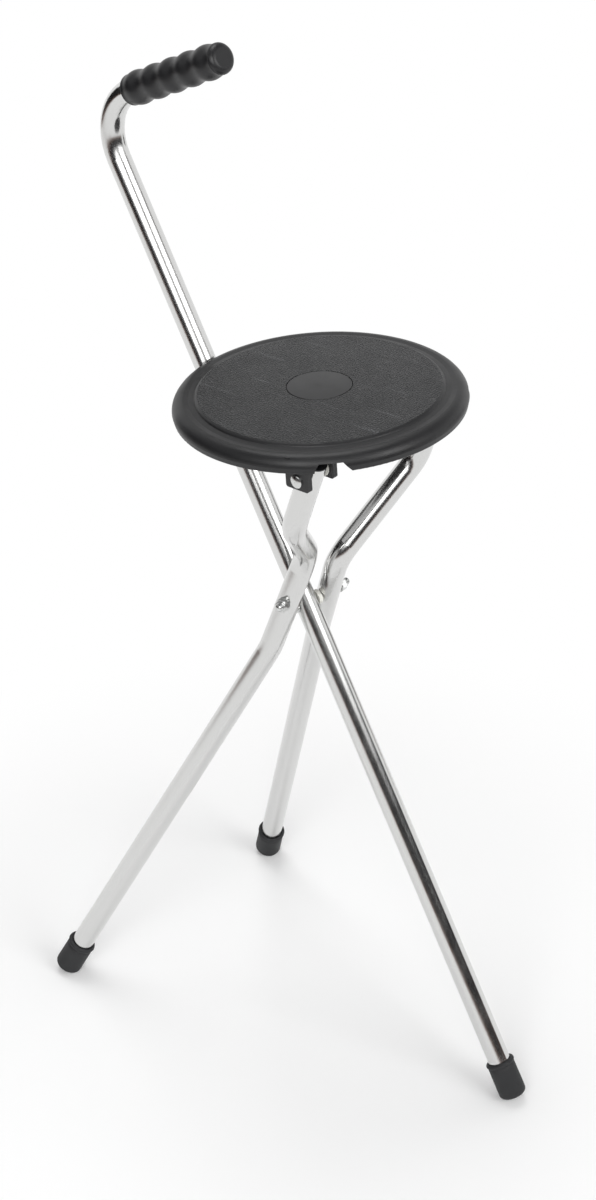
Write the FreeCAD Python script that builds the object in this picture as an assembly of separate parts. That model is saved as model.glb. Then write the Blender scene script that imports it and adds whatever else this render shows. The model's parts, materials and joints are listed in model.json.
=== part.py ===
"""Walking stick seat: a bent-handled stick whose two extra legs and round seat fold out into a stool.

Millimetres, +Z up, floor at z = 0. The main tube leans towards -X as it rises, its foot is on +X,
leg B is on -Y and leg C on +Y. The shapes are laid out with the seat's centre over the origin,
and main() moves them all so that the middle of the footprint box is the origin.
"""
import FreeCAD, Part
import math
import os
from FreeCAD import Vector

# Tubes
TUBE_D = 19.0
TUBE_WALL = 1.5

# Stance of the open stool; leg C is crossed a little tighter than leg B
MAIN_FOOT_X = 222.7
MAIN_LEAN = 30.78
BOLT_B_UP = 471.5
BOLT_C_DROP = 11.3
LEG_B_SPREAD = 54.02
LEG_B_SPLAY = 18.59
LEG_B_MIDDLE = 45.35
LEG_C_SPREAD = 51.63
LEG_C_SPLAY = 13.98
LEG_C_MIDDLE = 53.4
MIDDLE_HALF = 47.0

# Leg tops, seen from the seat's centre line
SHOULDER_X = 38.7
SHOULDER_Y = 73.3
SHOULDER_Z = 524.5
HINGE_X = 55.5
HINGE_Y = 71.8
HINGE_Z = 579.9
LEG_TOP_PAST_PIN = 10.0
LEG_BEND_R = 34.0

# Handle
HANDLE_BEND_UP = 842.4
HANDLE_BEND_R = 43.4
HANDLE_BEND = 93.1
GRIP_LENGTH = 110.0
GRIP_MOUTH_R = 12.2
GRIP_CREST_R = 13.4
GRIP_VALLEY_R = 11.8
GRIP_END_R = 13.0
GRIP_LOBES = 4
GRIP_END_LOBE = 28.0
GRIP_WALL_END = 8.0
GRIP_START = 0.0

# Rubber feet
FOOT_R = 11.75
FOOT_LENGTH = 34.0
FOOT_LIP = 0.6
FOOT_LIP_H = 3.0
FOOT_EDGE_R = 4.0
FOOT_SOLE = 8.0
FOOT_GROOVE_R = 5.0
FOOT_GROOVE_W = 1.6
FOOT_GROOVE_DEEP = 1.0
TIP_DISC_T = 1.5
FOOT_FIT = 0.05
FOOT_WORN = 0.4

# Leg pivots
PIVOT_GAP = 3.5
PIVOT_BOLT_D = 6.0
PIVOT_RUN_FIT = 0.06
PIVOT_HOLE_FIT = 0.15
PIVOT_HEAD_R = 4.4
PIVOT_HEAD_EDGE = 0.5
PIVOT_HEAD_RISE = 1.3
PIN_CHAMFER = 0.6
PIVOT_SPACER_R = 6.0
PIVOT_SIDE_PLAY = 0.3
WASHER_R = 6.0
WASHER_T = 1.0
NUT_AF = 10.0
NUT_H = 4.5
NUT_COLLAR_R = 4.4
NUT_COLLAR_H = 1.5
BOLT_END_PAST_NUT = 3.0

# Seat
SEAT_R = 113.5
SEAT_TOP_Z = 602.1
SEAT_TILT = 4.86
SEAT_CROWN = 1.5
SEAT_FIELD_R = 93.5
SEAT_STEP = 2.2
SEAT_PLATE = 3.0
SEAT_RIM_H = 16.0
SEAT_RIM_WALL = 3.2
SEAT_ROLL_R = 9.0
RIB_T = 2.4
RIB_H = 8.0
RIB_RING_R = 40.0
RIB_COUNT = 12
RIB_SUNK = 1.0
RIB_CORNER_DROP = 3.8
RIB_CLEAR_R = 15.5
EMBLEM_R = 25.0
EMBLEM_DEEP = 1.2
EMBLEM_GAP = 0.6
EMBLEM_EDGE = 0.5
EMBLEM_RISE = 0.4
NOTCH_TURN = 44.5
NOTCH_W = 25.0
NOTCH_H = 8.0
TUBE_NOTCH_W = 36.0
TUBE_NOTCH_H = 9.0

# Seat hinge on leg B and catch for leg C
EAR_T = 4.5
EAR_W = 22.0
EAR_BELOW_PIN = 7.0
EAR_GUSSET_T = 3.0
EAR_GUSSET_W = 9.0
HINGE_SIDE_PLAY = 0.55
HINGE_WASHER_T = 1.6
HINGE_WASHER_R = 7.0
HINGE_PIN_R = 4.0
HINGE_PIN_HEAD_R = 5.2
HINGE_PIN_HEAD_EDGE = 1.0
HINGE_PIN_HEAD_RISE = 1.4
HINGE_PIN_END = 2.0
HINGE_CLIP_R = 6.0
HINGE_CLIP_T = 1.2
CATCH_PEG_R = 3.5
CATCH_PEG_BITE = 3.5
CATCH_HEAD_R = 5.0
CATCH_HEAD_EDGE = 0.6
CATCH_HEAD_RISE = 1.4
CATCH_SLOT_PLAY = 1.3
PLUG_FIT = 0.05
PLUG_DEPTH = 4.5
PLUG_FLANGE = 2.0

TUBE_R = TUBE_D / 2
BORE_R = TUBE_R - TUBE_WALL
BOLT_R = PIVOT_BOLT_D / 2
TUBE_SPACING = TUBE_D + PIVOT_GAP


def turned(angle):
    """Cosine and sine of an angle in degrees."""
    return math.cos(math.radians(angle)), math.sin(math.radians(angle))


def foot_height(lean):
    """How high the sole's centre is when a rounded, slightly worn foot leans by this angle."""
    cos_lean, sin_lean = turned(lean)
    return (FOOT_R - FOOT_EDGE_R) * sin_lean + FOOT_EDGE_R * (1 - cos_lean) - FOOT_WORN


def dome_middle(radius, rise, base):
    """Middle of a round dome's outline, from its edge at the base height up to the axis."""
    sphere = (radius ** 2 + rise ** 2) / (2 * rise)
    half = math.asin(radius / sphere) / 2
    return sphere * math.sin(half), base + rise - sphere * (1 - math.cos(half))


def angle_from_up(direction):
    """Angle in degrees between a unit vector and the vertical."""
    return math.degrees(math.acos(max(-1.0, min(1.0, direction.z))))


# Main tube's line, from the centre of its sole
COS_LEAN, SIN_LEAN = turned(MAIN_LEAN)
MAIN_UP = Vector(-SIN_LEAN, 0, COS_LEAN)
MAIN_FOOT = Vector(MAIN_FOOT_X, 0, foot_height(MAIN_LEAN))


def leg_frame(splay, side):
    """Directions of a leg's pivot: square to the main tube towards its foot, and the bolt's."""
    cos_splay, sin_splay = turned(splay)
    back = Vector(-COS_LEAN, 0, -SIN_LEAN)
    across = Vector(0, side, 0)
    toward_foot = back * cos_splay + across * sin_splay
    bolt = back * -sin_splay + across * cos_splay
    return toward_foot, bolt


def leg_points(side):
    """Corners of a leg's centre line; side is -1 for leg B and 1 for leg C."""
    if side < 0:
        up_main, spread, splay, tip = BOLT_B_UP, LEG_B_SPREAD, LEG_B_SPLAY, LEG_B_MIDDLE
    else:
        up_main, spread, splay, tip = BOLT_B_UP - BOLT_C_DROP, LEG_C_SPREAD, LEG_C_SPLAY, LEG_C_MIDDLE
    toward_foot, bolt = leg_frame(splay, side)
    pivot = MAIN_FOOT + MAIN_UP * up_main + bolt * TUBE_SPACING
    cos_mid, sin_mid = turned(tip)
    middle = MAIN_UP * cos_mid - toward_foot * sin_mid
    low_bend = pivot - middle * MIDDLE_HALF
    high_bend = pivot + middle * MIDDLE_HALF
    cos_low, sin_low = turned(spread)
    down = toward_foot * sin_low - MAIN_UP * cos_low
    sole_z = foot_height(180.0 - angle_from_up(down))
    sole = pivot + down * ((pivot.z - sole_z) / -down.z)
    shoulder = Vector(SHOULDER_X, side * SHOULDER_Y, SHOULDER_Z)
    hinge = Vector(HINGE_X, side * HINGE_Y, HINGE_Z)
    top_way = (hinge - shoulder).normalize()
    top = hinge + top_way * LEG_TOP_PAST_PIN
    return {"pivot": pivot, "bolt": bolt, "sole": sole, "low": low_bend, "high": high_bend,
            "shoulder": shoulder, "hinge": hinge, "top": top}


def bent_line(corners, radii):
    """Wire through the corners, with a tangent arc of the given radius at each inner corner."""
    edges = []
    start = corners[0]
    for before, corner, after, radius in zip(corners, corners[1:], corners[2:], radii):
        arrive = (corner - before).normalize()
        leave = (after - corner).normalize()
        turn = arrive.getAngle(leave)
        reach = radius * math.tan(turn / 2)
        arc_start = corner - arrive * reach
        arc_end = corner + leave * reach
        inward = (leave - arrive).normalize()
        arc_middle = corner + inward * (radius / math.cos(turn / 2) - radius)
        edges.append(Part.LineSegment(start, arc_start).toShape())
        edges.append(Part.Arc(arc_start, arc_middle, arc_end).toShape())
        start = arc_end
    edges.append(Part.LineSegment(start, corners[-1]).toShape())
    return Part.Wire(edges)


def swept_rod(line, radius):
    """Solid round rod along a wire."""
    first = line.Edges[0]
    begin = first.Vertexes[0].Point
    way = first.tangentAt(first.FirstParameter)
    circle = Part.Wire([Part.Circle(begin, way, radius).toShape()])
    return line.makePipeShell([circle], True, False)


def swept_tube(line):
    """Hollow tube along a wire."""
    return swept_rod(line, TUBE_R).cut(swept_rod(line, BORE_R))


def turned_solid(points):
    """Revolve a closed profile of (radius, height) points and arcs about the Z axis.

    An item with three pairs is an arc: it starts where the last item ended, goes through its
    first pair and ends at its second; a single pair is the end of a straight line.
    """
    edges = []
    start = points[0]
    for item in points[1:] + [points[0]]:
        here = Vector(start[0], 0, start[1])
        if isinstance(item[0], tuple):
            through, end = item
            middle = Vector(through[0], 0, through[1])
            edges.append(Part.Arc(here, middle, Vector(end[0], 0, end[1])).toShape())
        else:
            end = item
            edges.append(Part.LineSegment(here, Vector(end[0], 0, end[1])).toShape())
        start = end
    face = Part.Face(Part.Wire(edges))
    return face.revolve(Vector(0, 0, 0), Vector(0, 0, 1), 360)


def stood_on(shape, base, way):
    """Copy of a shape modelled up the Z axis, moved to a base point and turned to a direction."""
    copy = shape.copy()
    copy.Placement = FreeCAD.Placement(base, FreeCAD.Rotation(Vector(0, 0, 1), way))
    return copy


def rod(base, way, radius, length):
    """Plain round rod from a base point."""
    return Part.makeCylinder(radius, length, base, way)


def ring(base, way, inner, outer, thickness):
    """Flat washer."""
    return rod(base, way, outer, thickness).cut(rod(base, way, inner, thickness))


# Feet

def ferrule():
    """Rubber foot: a round-edged cup with a lip at its mouth and a ring groove in its sole."""
    edge_mid = FOOT_R - FOOT_EDGE_R * (1 - math.sqrt(0.5))
    edge_low = FOOT_EDGE_R * (1 - math.sqrt(0.5))
    bore = TUBE_R + FOOT_FIT
    groove_out = FOOT_GROOVE_R + FOOT_GROOVE_W
    profile = [(0, 0), (FOOT_GROOVE_R, 0), (FOOT_GROOVE_R, FOOT_GROOVE_DEEP),
               (groove_out, FOOT_GROOVE_DEEP), (groove_out, 0), (FOOT_R - FOOT_EDGE_R, 0),
               ((edge_mid, edge_low), (FOOT_R, FOOT_EDGE_R)),
               (FOOT_R, FOOT_LENGTH - FOOT_LIP_H - FOOT_LIP),
               (FOOT_R + FOOT_LIP, FOOT_LENGTH - FOOT_LIP_H),
               (FOOT_R + FOOT_LIP, FOOT_LENGTH - FOOT_LIP), (FOOT_R, FOOT_LENGTH),
               (bore, FOOT_LENGTH), (bore, FOOT_SOLE), (0, FOOT_SOLE)]
    return turned_solid(profile)


def worn_foot(sole, way):
    """Foot in its place, with the small flat it has worn where it meets the floor."""
    below = Part.makeBox(8 * FOOT_R, 8 * FOOT_R, 4 * FOOT_R,
                         Vector(sole.x - 4 * FOOT_R, sole.y - 4 * FOOT_R, -4 * FOOT_R))
    return stood_on(ferrule(), sole, way).cut(below)


def tip_disc():
    """Steel disc that keeps the tube's end from cutting through the sole."""
    return rod(Vector(0, 0, FOOT_SOLE), Vector(0, 0, 1), TUBE_R - FOOT_FIT, TIP_DISC_T)


def tube_start(sole, way):
    """Where a tube ends inside its foot."""
    return sole + way * (FOOT_SOLE + TIP_DISC_T)


# Main tube and handle

def handle_way():
    """Direction of the grip, away from the bend."""
    cos_bend, sin_bend = turned(HANDLE_BEND)
    forward = Vector(COS_LEAN, 0, SIN_LEAN)
    return MAIN_UP * cos_bend + forward * sin_bend


def handle_corner():
    """Where the main tube's line meets the grip's line."""
    reach = HANDLE_BEND_R * math.tan(math.radians(HANDLE_BEND) / 2)
    return MAIN_FOOT + MAIN_UP * (HANDLE_BEND_UP + reach)


def grip_base():
    """Centre of the grip's mouth."""
    reach = HANDLE_BEND_R * math.tan(math.radians(HANDLE_BEND) / 2)
    return handle_corner() + handle_way() * (reach + GRIP_START)


def main_tube():
    """Bent main tube with the holes of both pivot bolts."""
    tube_end = grip_base() + handle_way() * (GRIP_LENGTH - GRIP_WALL_END)
    line = bent_line([tube_start(MAIN_FOOT, MAIN_UP), handle_corner(), tube_end], [HANDLE_BEND_R])
    tube = swept_tube(line)
    for side in (-1, 1):
        points = leg_points(side)
        start = points["pivot"] - points["bolt"] * (TUBE_SPACING + TUBE_D)
        tube = tube.cut(rod(start, points["bolt"], BOLT_R + PIVOT_HOLE_FIT, 1.5 * TUBE_D))
    return tube


def handle_grip():
    """Moulded grip: finger lobes turned about its axis, with a rounded end and a blind bore."""
    bore = TUBE_R + FOOT_FIT
    lobe = (GRIP_LENGTH - GRIP_END_LOBE) / GRIP_LOBES
    profile = [(bore, 0), (GRIP_MOUTH_R, 0)]
    for number in range(GRIP_LOBES):
        middle = (GRIP_CREST_R, (number + 0.5) * lobe)
        profile.append((middle, (GRIP_VALLEY_R, (number + 1) * lobe)))
    crest = GRIP_LENGTH - GRIP_END_R
    shoulder = (GRIP_CREST_R, (GRIP_LENGTH - GRIP_END_LOBE + crest) / 2)
    profile.append((shoulder, (GRIP_END_R, crest)))
    cap = GRIP_END_R * math.sqrt(0.5)
    profile.append(((cap, crest + cap), (0, GRIP_LENGTH)))
    profile += [(0, GRIP_LENGTH - GRIP_WALL_END), (bore, GRIP_LENGTH - GRIP_WALL_END)]
    return stood_on(turned_solid(profile), grip_base(), handle_way())


# Legs

def leg_tube(side):
    """Bent leg tube with the holes of its pivot bolt and of its top pin."""
    points = leg_points(side)
    corners = [tube_start(*leg_foot(side)), points["low"], points["high"],
               points["shoulder"], points["top"]]
    tube = swept_tube(bent_line(corners, [LEG_BEND_R * 2, LEG_BEND_R, LEG_BEND_R]))
    bolt_start = points["pivot"] - points["bolt"] * TUBE_D
    tube = tube.cut(rod(bolt_start, points["bolt"], BOLT_R + PIVOT_RUN_FIT, 2 * TUBE_D))
    pin_r = HINGE_PIN_R + PIVOT_RUN_FIT if side < 0 else CATCH_PEG_R + FOOT_FIT
    pin_start = points["hinge"] - Vector(0, TUBE_D, 0)
    return tube.cut(rod(pin_start, Vector(0, 1, 0), pin_r, 2 * TUBE_D))


def leg_foot(side):
    """Centre of a leg's sole, and the way up the leg from it."""
    points = leg_points(side)
    return points["sole"], (points["low"] - points["sole"]).normalize()


def end_plug(side):
    """Domed plug in a leg's top end."""
    points = leg_points(side)
    way = (points["top"] - points["shoulder"]).normalize()
    flat = PLUG_FLANGE / 2
    profile = [(0, -PLUG_DEPTH), (BORE_R - PLUG_FIT, -PLUG_DEPTH), (BORE_R - PLUG_FIT, 0),
               (TUBE_R, 0), (TUBE_R, flat), (dome_middle(TUBE_R, flat, flat), (0, PLUG_FLANGE))]
    return stood_on(turned_solid(profile), points["top"], way)


# Pivots

def pivot_seat(side):
    """Pivot bolt's line: a point on the main tube's axis, and the way to the leg."""
    points = leg_points(side)
    return points["pivot"] - points["bolt"] * TUBE_SPACING, points["bolt"]


def headed_pin(radius, length, head_r, head_edge, head_rise):
    """Round pin up the Z axis from 0, with a domed head below it."""
    middle_r, middle_up = dome_middle(head_r, head_rise, head_edge)
    profile = [(0, length), (0, -head_edge - head_rise),
               ((middle_r, -middle_up), (head_r, -head_edge)), (head_r, 0), (radius, 0),
               (radius, length - PIN_CHAMFER), (radius - PIN_CHAMFER, length)]
    return turned_solid(profile)


def pivot_bolt(side):
    """Bolt with a low domed head that lies on the main tube's washer."""
    centre, way = pivot_seat(side)
    under_head = TUBE_R + WASHER_T
    past_leg = TUBE_SPACING + TUBE_R + PIVOT_SIDE_PLAY + WASHER_T
    length = under_head + past_leg + NUT_H + NUT_COLLAR_H + BOLT_END_PAST_NUT
    bolt = headed_pin(BOLT_R, length, PIVOT_HEAD_R, PIVOT_HEAD_EDGE, PIVOT_HEAD_RISE)
    return stood_on(bolt, centre - way * under_head, way)


def head_washer(side):
    """Washer under the bolt's head."""
    centre, way = pivot_seat(side)
    return ring(centre - way * (TUBE_R + WASHER_T), way, BOLT_R + PIVOT_HOLE_FIT,
                PIVOT_HEAD_R, WASHER_T)


def pivot_spacer(side):
    """Spacer on the bolt that holds the leg off the main tube."""
    centre, way = pivot_seat(side)
    return ring(centre + way * TUBE_R, way, BOLT_R + PIVOT_HOLE_FIT, PIVOT_SPACER_R,
                PIVOT_GAP - PIVOT_SIDE_PLAY)


def nut_washer(side):
    """Washer between the leg and the lock nut."""
    centre, way = pivot_seat(side)
    start = TUBE_SPACING + TUBE_R + PIVOT_SIDE_PLAY
    return ring(centre + way * start, way, BOLT_R + PIVOT_HOLE_FIT, WASHER_R, WASHER_T)


def lock_nut(side):
    """Hexagon lock nut with its round collar."""
    centre, way = pivot_seat(side)
    start = TUBE_SPACING + TUBE_R + PIVOT_SIDE_PLAY + WASHER_T
    corner_r = NUT_AF / math.sqrt(3)
    corners = [Vector(corner_r * turned(60 * k)[0], corner_r * turned(60 * k)[1], 0)
               for k in range(7)]
    hexagon = Part.Face(Part.makePolygon(corners)).extrude(Vector(0, 0, NUT_H))
    collar = rod(Vector(0, 0, NUT_H), Vector(0, 0, 1), NUT_COLLAR_R, NUT_COLLAR_H)
    body = hexagon.fuse(collar)
    hole = rod(Vector(0, 0, 0), Vector(0, 0, 1), BOLT_R + FOOT_FIT, NUT_H + NUT_COLLAR_H)
    return stood_on(body.cut(hole), centre + way * start, way)


# Seat, modelled level with its top at z = 0 and then tilted

def seat_place(shape):
    """Lift a level seat part to its height and tilt it down towards the main tube."""
    copy = shape.copy()
    tilt = FreeCAD.Rotation(Vector(0, 1, 0), -SEAT_TILT)
    copy.Placement = FreeCAD.Placement(Vector(0, 0, SEAT_TOP_Z), tilt)
    return copy


def level_hinge():
    """Hinge height and place in the seat's own level frame, on the side of leg C."""
    offset = Vector(HINGE_X, HINGE_Y, HINGE_Z - SEAT_TOP_Z)
    return FreeCAD.Rotation(Vector(0, 1, 0), SEAT_TILT).multVec(offset)


def seat_skin():
    """Turned shell: crowned field, step, rolled rim and plate of even thickness."""
    roll_top = -SEAT_STEP - 0.2
    roll_start = SEAT_R - SEAT_ROLL_R - 4.0
    roll_side = roll_top - SEAT_ROLL_R
    mid = SEAT_ROLL_R * math.sqrt(0.5)
    inner_r = SEAT_R - SEAT_RIM_WALL
    floor_z = -SEAT_STEP - SEAT_PLATE
    profile = [(0, SEAT_CROWN),
               (dome_middle(SEAT_FIELD_R, SEAT_CROWN, 0), (SEAT_FIELD_R, 0)),
               ((SEAT_FIELD_R + 1.2, -0.6), (SEAT_FIELD_R + 2.6, -SEAT_STEP)),
               (roll_start, roll_top - 0.3),
               (roll_start + 4.0, roll_top),
               ((SEAT_R - SEAT_ROLL_R + mid, roll_side + mid), (SEAT_R, roll_side)),
               (SEAT_R - 0.8, -SEAT_RIM_H + 1.0),
               ((SEAT_R - 1.1, -SEAT_RIM_H + 0.3), (SEAT_R - 1.8, -SEAT_RIM_H)),
               (inner_r - 0.8, -SEAT_RIM_H),
               (inner_r, roll_side),
               ((inner_r - 2.2, floor_z - 1.8), (inner_r - 7.0, floor_z)),
               (0, floor_z)]
    return turned_solid(profile)


def seat_ribs():
    """Ring rib and spokes under the plate; their tops are sunk in the plate and the rim."""
    under = -SEAT_STEP - SEAT_PLATE
    top = under + RIB_SUNK
    bottom = under - RIB_H
    ring_rib = ring(Vector(0, 0, bottom), Vector(0, 0, 1), RIB_RING_R - RIB_T, RIB_RING_R,
                    top - bottom)
    start_r = RIB_RING_R - RIB_T / 2
    wall_r = SEAT_R - SEAT_RIM_WALL + RIB_SUNK
    outline = [Vector(start_r, 0, top), Vector(wall_r - SEAT_ROLL_R, 0, top),
               Vector(wall_r, 0, top - RIB_CORNER_DROP), Vector(wall_r, 0, bottom),
               Vector(start_r, 0, bottom), Vector(start_r, 0, top)]
    spoke = Part.Face(Part.makePolygon(outline)).extrude(Vector(0, RIB_T, 0))
    spoke.translate(Vector(0, -RIB_T / 2, 0))
    ribs = [ring_rib]
    for number in range(RIB_COUNT):
        turn = 360.0 / RIB_COUNT * (number + 0.5)
        one = spoke.copy()
        one.rotate(Vector(0, 0, 0), Vector(0, 0, 1), turn)
        ribs.append(one)
    hinge = level_hinge()
    for side in (-1, 1):
        start = Vector(hinge.x, side * hinge.y - ear_gap(), hinge.z)
        room = rod(start, Vector(0, 1, 0), RIB_CLEAR_R, 2 * ear_gap())
        ribs = [rib.cut(room) for rib in ribs]
    return ribs


def ear_plate(inner_y, away):
    """Hinge ear with its gusset; inner_y is its inner face and away the side it thickens to."""
    hinge = level_hinge()
    top = -SEAT_STEP - SEAT_PLATE / 2
    bottom = hinge.z - EAR_BELOW_PIN
    low_y = min(inner_y, inner_y + away * EAR_T)
    plate = Part.makeBox(EAR_W, EAR_T, top - bottom, Vector(hinge.x - EAR_W / 2, low_y, bottom))
    plate = plate.makeFillet(2.0, [edge for edge in plate.Edges if lower_ear_edge(edge, bottom)])
    foot_y = inner_y + away * EAR_T
    gusset_deep = hinge.z + HINGE_CLIP_R + 2.0
    corners = [Vector(hinge.x - EAR_GUSSET_T / 2, foot_y, top),
               Vector(hinge.x - EAR_GUSSET_T / 2, foot_y + away * EAR_GUSSET_W, top),
               Vector(hinge.x - EAR_GUSSET_T / 2, foot_y, gusset_deep)]
    gusset = Part.Face(Part.makePolygon(corners + corners[:1])).extrude(Vector(EAR_GUSSET_T, 0, 0))
    return plate.fuse(gusset)


def lower_ear_edge(edge, bottom):
    """True for the two bottom edges that run across the ear's thickness."""
    first, last = edge.Vertexes[0].Point, edge.Vertexes[-1].Point
    low = abs(first.z - bottom) < 0.01 and abs(last.z - bottom) < 0.01
    return low and abs(first.x - last.x) < 0.01


def ear_gap():
    """Distance from a leg top's axis to the inner face of an ear."""
    return TUBE_R + HINGE_SIDE_PLAY + HINGE_WASHER_T


def seat_ears():
    """Two ears for leg B's hinge and the slotted ear that leg C's peg drops out of."""
    hinge = level_hinge()
    outer_b = ear_plate(-hinge.y - ear_gap(), -1)
    inner_b = ear_plate(-hinge.y + ear_gap(), 1)
    inner_c = ear_plate(hinge.y - ear_gap(), -1)
    return [outer_b, inner_b, inner_c]


def rim_notch(turn, width, height, straight_side):
    """Tool for an arched notch through the rim's lower edge, centred on an angle about Z."""
    half = width / 2
    top = -SEAT_RIM_H + height
    edge = 0.35 * width
    corners = [Vector(0, -half, -SEAT_RIM_H - 5), Vector(0, half + straight_side * 3, -SEAT_RIM_H - 5),
               Vector(0, half + straight_side * 3, -SEAT_RIM_H), Vector(0, edge, top)]
    left_arc = Part.Arc(Vector(0, -edge, top), Vector(0, -half * 0.9, top - height * 0.45),
                        Vector(0, -half, -SEAT_RIM_H))
    edges = [Part.LineSegment(corners[k], corners[k + 1]).toShape() for k in range(3)]
    edges.append(Part.LineSegment(corners[3], Vector(0, -edge, top)).toShape())
    edges.append(left_arc.toShape())
    edges.append(Part.LineSegment(Vector(0, -half, -SEAT_RIM_H), corners[0]).toShape())
    tool = Part.Face(Part.Wire(edges)).extrude(Vector(4 * SEAT_RIM_WALL + 8, 0, 0))
    tool.translate(Vector(SEAT_R - 2 * SEAT_RIM_WALL - 4, 0, 0))
    tool.rotate(Vector(0, 0, 0), Vector(0, 0, 1), turn)
    return tool


def seat_shell():
    """Moulded seat in one piece: skin, ribs and ears, with the notches and the pin holes cut."""
    hinge = level_hinge()
    body = seat_skin().multiFuse(seat_ribs() + seat_ears())
    pocket = rod(Vector(0, 0, SEAT_CROWN - EMBLEM_DEEP), Vector(0, 0, 1), EMBLEM_R + EMBLEM_GAP, 5)
    pin = rod(Vector(hinge.x, -hinge.y - 2 * TUBE_D, hinge.z), Vector(0, 1, 0),
              HINGE_PIN_R + FOOT_FIT, 4 * TUBE_D)
    slot_r = CATCH_PEG_R + CATCH_SLOT_PLAY
    slot_y = hinge.y - ear_gap() - 2 * EAR_T
    slot_top = rod(Vector(hinge.x, slot_y, hinge.z + CATCH_SLOT_PLAY - PIVOT_SIDE_PLAY),
                   Vector(0, 1, 0), slot_r, 3 * EAR_T)
    slot_down = Part.makeBox(2 * slot_r, 3 * EAR_T, 3 * EAR_BELOW_PIN,
                             Vector(hinge.x - slot_r, slot_y, hinge.z - 3 * EAR_BELOW_PIN))
    tools = [pocket, pin, slot_top, slot_down]
    tools.append(rim_notch(-NOTCH_TURN, NOTCH_W, NOTCH_H, 1))
    tools.append(rim_notch(NOTCH_TURN, NOTCH_W, NOTCH_H, 1))
    tools.append(rim_notch(180.0, TUBE_NOTCH_W, TUBE_NOTCH_H, 0))
    for tool in tools:
        body = body.cut(tool)
    return seat_place(body.removeSplitter())


def seat_emblem():
    """Bare disc that fills the round pocket in the middle of the seat."""
    base = SEAT_CROWN - EMBLEM_DEEP
    edge = base + EMBLEM_DEEP - EMBLEM_EDGE
    inner = EMBLEM_R - EMBLEM_EDGE
    rim = edge + EMBLEM_EDGE
    corner = (inner + EMBLEM_EDGE * math.sqrt(0.5), edge + EMBLEM_EDGE * math.sqrt(0.5))
    profile = [(0, base), (EMBLEM_R, base), (EMBLEM_R, edge), (corner, (inner, rim)),
               (dome_middle(inner, EMBLEM_RISE, rim), (0, rim + EMBLEM_RISE))]
    return seat_place(turned_solid(profile))


def hinge_pin():
    """Headed pin through both ears and leg B's top."""
    hinge = Vector(HINGE_X, -HINGE_Y, HINGE_Z)
    out = ear_gap() + EAR_T
    way = Vector(0, 1, 0)
    length = 2 * out + HINGE_CLIP_T + HINGE_PIN_END
    pin = headed_pin(HINGE_PIN_R, length, HINGE_PIN_HEAD_R, HINGE_PIN_HEAD_EDGE,
                     HINGE_PIN_HEAD_RISE)
    return stood_on(pin, hinge - way * out, way)


def hinge_washer(way):
    """Nylon washer between leg B's top and the ear on the side it points to."""
    hinge = Vector(HINGE_X, -HINGE_Y, HINGE_Z)
    return ring(hinge + way * (ear_gap() - HINGE_WASHER_T), way, HINGE_PIN_R + FOOT_FIT,
                HINGE_WASHER_R, HINGE_WASHER_T)


def hinge_clip():
    """Push-on retaining washer on the hinge pin's plain end."""
    hinge = Vector(HINGE_X, -HINGE_Y, HINGE_Z)
    way = Vector(0, 1, 0)
    return ring(hinge + way * (ear_gap() + EAR_T), way, HINGE_PIN_R + FOOT_FIT, HINGE_CLIP_R,
                HINGE_CLIP_T)


def catch_peg():
    """Headed peg across leg C's top; its inner end sits in the seat's slotted ear."""
    hinge = Vector(HINGE_X, HINGE_Y, HINGE_Z)
    way = Vector(0, -1, 0)
    length = TUBE_R + ear_gap() + CATCH_PEG_BITE
    peg = headed_pin(CATCH_PEG_R, length, CATCH_HEAD_R, CATCH_HEAD_EDGE, CATCH_HEAD_RISE)
    return stood_on(peg, hinge - way * TUBE_R, way)


def build_parts():
    """Every piece under its name."""
    parts = {
        "main_tube": main_tube(),
        "handle_grip": handle_grip(),
        "main_ferrule": worn_foot(MAIN_FOOT, MAIN_UP),
        "main_tip_disc": stood_on(tip_disc(), MAIN_FOOT, MAIN_UP),
        "seat_shell": seat_shell(),
        "seat_emblem": seat_emblem(),
        "seat_hinge_pin": hinge_pin(),
        "seat_hinge_washer_out": hinge_washer(Vector(0, -1, 0)),
        "seat_hinge_washer_in": hinge_washer(Vector(0, 1, 0)),
        "seat_hinge_clip": hinge_clip(),
        "leg_c_catch_peg": catch_peg(),
    }
    for letter, side in (("b", -1), ("c", 1)):
        parts["leg_%s_tube" % letter] = leg_tube(side)
        parts["leg_%s_ferrule" % letter] = worn_foot(*leg_foot(side))
        parts["leg_%s_tip_disc" % letter] = stood_on(tip_disc(), *leg_foot(side))
        parts["leg_%s_end_plug" % letter] = end_plug(side)
        parts["pivot_%s_bolt" % letter] = pivot_bolt(side)
        parts["pivot_%s_head_washer" % letter] = head_washer(side)
        parts["pivot_%s_spacer" % letter] = pivot_spacer(side)
        parts["pivot_%s_nut_washer" % letter] = nut_washer(side)
        parts["pivot_%s_lock_nut" % letter] = lock_nut(side)
    return parts


def base_centre(parts):
    """Middle of the whole stool's footprint box, on the floor."""
    box = FreeCAD.BoundBox()
    for shape in parts.values():
        box.add(shape.optimalBoundingBox())
    return Vector((box.XMin + box.XMax) / 2, (box.YMin + box.YMax) / 2, 0)


def main():
    os.makedirs("parts", exist_ok=True)
    parts = build_parts()
    shift = base_centre(parts) * -1
    for name, shape in parts.items():
        shape.translate(shift)
        shape.exportStep("parts/%s.step" % name)
        print(name, len(shape.Solids), "solids", round(shape.Volume, 1), "mm3", shape.isValid())


if __name__ == "__main__":
    main()
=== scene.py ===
import json
import math

import bpy
import numpy as np
from mathutils import Matrix, Vector


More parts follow.
